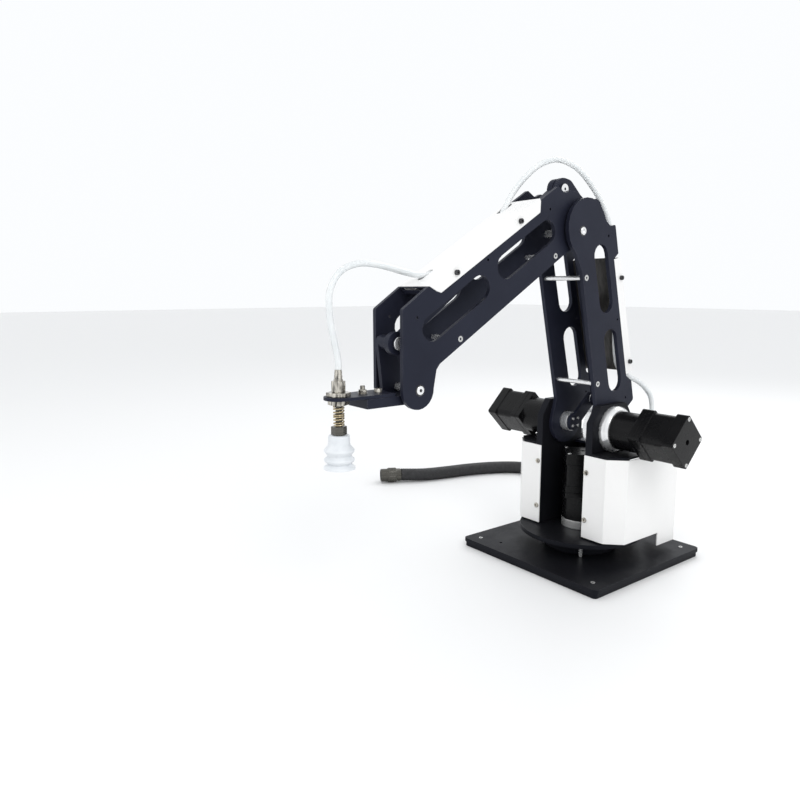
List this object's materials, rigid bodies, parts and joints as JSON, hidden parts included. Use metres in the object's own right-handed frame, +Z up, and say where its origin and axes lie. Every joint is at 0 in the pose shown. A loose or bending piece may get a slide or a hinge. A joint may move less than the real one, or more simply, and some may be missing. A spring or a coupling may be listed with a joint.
{
  "type": "robot arm",
  "caption": "Desktop robot arm with a turning base, upper arm and forearm moved by geared stepper drives, levelling links and a sprung suction cup at the wrist.",
  "frame": {"origin": "on the turning axis, at the underside of the base", "axes": "+Z up along the turning axis, +X forward towards the suction cup, +Y to the arm's own left"},
  "size_m": [0.8056, 0.7215, 0.6155],
  "materials": {
    "black_paint": "satin anodised black",
    "white_paint": "smooth white powder coat",
    "steel": "turned",
    "dark_steel": "oiled",
    "spring_steel": "drawn wire",
    "motor_black": "semi-gloss black",
    "silicone": "smooth white silicone",
    "hose_plastic": "clear soft tube",
    "black_rubber": "black ribbed conduit"
  },
  "bodies": {
    "base": {"base_skirt": "black_paint", "base_plate": "black_paint", "bearing_housing": "black_paint", "yaw_output_shaft": "steel", "stop_stud": "steel", "control_conduit": "black_rubber", "conduit_connector": "black_rubber"},
    "turret": {"turntable_disc": "black_paint", "turret_side_plate_left": "black_paint", "turret_side_plate_right": "black_paint", "turret_rear_wall": "black_paint", "cover_shelf_left": "black_paint", "cover_shelf_right": "black_paint", "turret_cover_left": "white_paint", "turret_cover_right": "white_paint", "yaw_gearbox_ring": "steel", "yaw_gearbox": "motor_black", "yaw_motor": "motor_black", "shoulder_gearbox_ring": "steel", "shoulder_gearbox": "motor_black", "shoulder_motor": "motor_black", "elbow_gearbox_ring": "steel", "elbow_gearbox": "motor_black", "elbow_motor": "motor_black", "level_lug": "black_paint", "conduit_gland": "black_rubber", "hose_inlet": "steel", "hose_shoulder": "hose_plastic"},
    "upper_arm": {"upper_arm_plate_left": "black_paint", "upper_arm_plate_right": "black_paint", "upper_arm_rod_lower": "steel", "upper_arm_rod_upper": "steel", "upper_arm_cover": "white_paint", "shoulder_output_hub": "steel", "elbow_shaft": "steel", "hose_elbow_rear": "hose_plastic"},
    "crank": {"elbow_output_hub": "steel", "elbow_crank": "black_paint"},
    "crank_pin": {"crank_pin": "steel"},
    "drive_link": {"drive_link": "black_paint"},
    "level_link": {"level_link": "black_paint"},
    "elbow_rocker": {"elbow_rocker": "black_paint", "hose_elbow_front": "hose_plastic"},
    "forearm": {"forearm_plate_left": "black_paint", "forearm_plate_right": "black_paint", "forearm_rod_rear": "steel", "forearm_rod_front": "steel", "forearm_bridge": "black_paint", "forearm_cover": "white_paint", "wrist_shaft": "steel", "hose_wrist": "hose_plastic"},
    "forearm_link": {"forearm_link": "black_paint"},
    "wrist": {"wrist_bracket": "black_paint", "tool_plate": "black_paint", "vacuum_port": "steel", "upper_lock_nut": "steel", "lower_lock_nut": "steel", "suction_spring": "spring_steel"},
    "suction_stem": {"suction_stem": "dark_steel", "suction_cup": "silicone"}
  },
  "joints": [
    {"name": "base_yaw", "type": "hinge", "parent": "base", "child": "turret", "pos_m": [0, 0, 0], "axis": [0, 0, 1], "range_deg": [-80, 90], "deforming": ["control_conduit"]},
    {"name": "shoulder", "type": "hinge", "parent": "turret", "child": "upper_arm", "pos_m": [0, 0, 0.214], "axis": [0, 1, 0], "range_deg": [-20, 35], "deforming": ["hose_shoulder"]},
    {"name": "rocker_level", "type": "hinge", "parent": "upper_arm", "child": "elbow_rocker", "pos_m": [0.07533, 0, 0.50955], "axis": [0, 1, 0], "range_deg": [-36, 23], "deforming": ["hose_elbow_rear"]},
    {"name": "elbow", "type": "hinge", "parent": "elbow_rocker", "child": "forearm", "pos_m": [0.07533, 0, 0.50955], "axis": [0, 1, 0], "range_deg": [-40, 24], "deforming": ["hose_elbow_front"]},
    {"name": "wrist_level", "type": "hinge", "parent": "forearm", "child": "wrist", "pos_m": [0.36585, 0, 0.30366], "axis": [0, 1, 0], "range_deg": [-27, 41], "deforming": ["hose_wrist"]},
    {"name": "forearm_link_swing", "type": "hinge", "parent": "elbow_rocker", "child": "forearm_link", "pos_m": [0.09734, 0, 0.56755], "axis": [0, 1, 0], "range_deg": [-41, 27]},
    {"name": "level_link_swing", "type": "hinge", "parent": "turret", "child": "level_link", "pos_m": [-0.044, 0, 0.218], "axis": [0, 1, 0], "range_deg": [-23, 36]},
    {"name": "crank_turn", "type": "hinge", "parent": "turret", "child": "crank", "pos_m": [0, 0, 0.214], "axis": [0, 1, 0], "range_deg": [-41, 27]},
    {"name": "crank_pin_turn", "type": "hinge", "parent": "crank", "child": "crank_pin", "pos_m": [-0.04137, 0, 0.24871], "axis": [0, 1, 0], "range_deg": [-27, 41]},
    {"name": "drive_link_swing", "type": "hinge", "parent": "crank_pin", "child": "drive_link", "pos_m": [-0.04137, 0, 0.24871], "axis": [0, 1, 0], "range_deg": [-23, 36]},
    {"name": "cup_travel", "type": "slide", "parent": "wrist", "child": "suction_stem", "axis": [0, 0, 1], "range_m": [0, 0.01], "stiffness_N_per_m": 300, "springref_m": -0.01, "deforming": ["suction_spring"]}
  ],
  "couplings": [
    {"joint": "rocker_level", "follows": "shoulder", "ratio": -1},
    {"joint": "level_link_swing", "follows": "shoulder", "ratio": 1},
    {"joint": "drive_link_swing", "follows": "shoulder", "ratio": 1},
    {"joint": "wrist_level", "follows": "elbow", "ratio": -1},
    {"joint": "forearm_link_swing", "follows": "elbow", "ratio": 1},
    {"joint": "crank_turn", "follows": "elbow", "ratio": 1},
    {"joint": "crank_pin_turn", "follows": "elbow", "ratio": -1}
  ]
}
